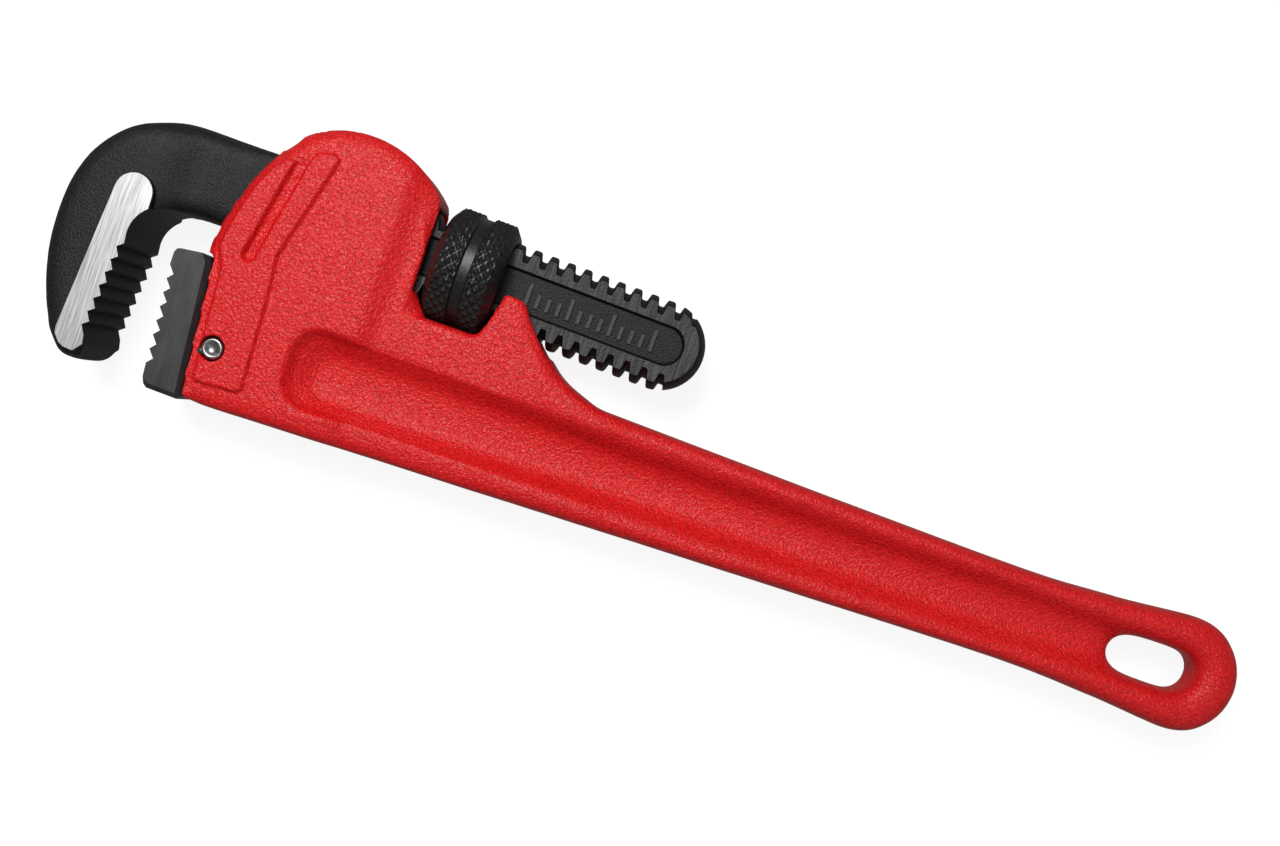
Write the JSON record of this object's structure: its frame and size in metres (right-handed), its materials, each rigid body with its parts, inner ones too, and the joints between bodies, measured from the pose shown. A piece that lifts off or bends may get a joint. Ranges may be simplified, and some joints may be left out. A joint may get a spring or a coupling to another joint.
{
  "type": "pipe wrench",
  "caption": "Straight pipe wrench: cast housing and I-beam handle, pinned heel jaw, sliding threaded hook jaw set by a knurled nut and sprung so that it rocks.",
  "frame": {"origin": "bottom centre of the bounding box, with the wrench lying on its side", "axes": "+X along the handle to its hanging end, +Y to the top of the housing, +Z out of the upper cheek"},
  "size_m": [0.2982, 0.0736, 0.0288],
  "materials": {
    "red_enamel": "glossy red enamel over a rough casting",
    "black_forged_steel": "forged and blackened, with a ground flat beside the teeth",
    "black_nut_steel": "diamond knurl, blackened and oiled",
    "dark_hardened_steel": "machined and hardened, dark grey",
    "pin_steel": "bare turned steel",
    "spring_steel": "tempered spring steel"
  },
  "bodies": {
    "handle": {"handle_housing": "red_enamel", "heel_jaw": "dark_hardened_steel", "heel_jaw_pin": "pin_steel", "coil_spring": "spring_steel"},
    "spring_shoe": {"leaf_spring": "spring_steel", "spring_rivet": "pin_steel"},
    "nut": {"adjusting_nut": "black_nut_steel"},
    "jaw": {"hook_jaw": "black_forged_steel"}
  },
  "joints": [
    {"name": "jaw_rock", "type": "hinge", "parent": "handle", "child": "spring_shoe", "pos_m": [-0.06344, 0.01367, 0.0144], "axis": [0, 0, 1], "range_deg": [0, 3], "stiffness_Nm_per_rad": 4, "springref_deg": -5.73, "deforming": ["coil_spring"]},
    {"name": "nut_spin", "type": "hinge", "parent": "spring_shoe", "child": "nut", "pos_m": [-0.06344, 0.01367, 0.0144], "axis": [0.9997, -0.0262, 0], "range_deg": [-800, 4120]},
    {"name": "jaw_slide", "type": "slide", "parent": "spring_shoe", "child": "jaw", "axis": [-0.9997, 0.0262, 0], "range_m": [-0.0094, 0.0484]}
  ],
  "couplings": [
    {"joint": "nut_spin", "follows": "jaw_slide", "rad_per_m": 1484.2}
  ]
}
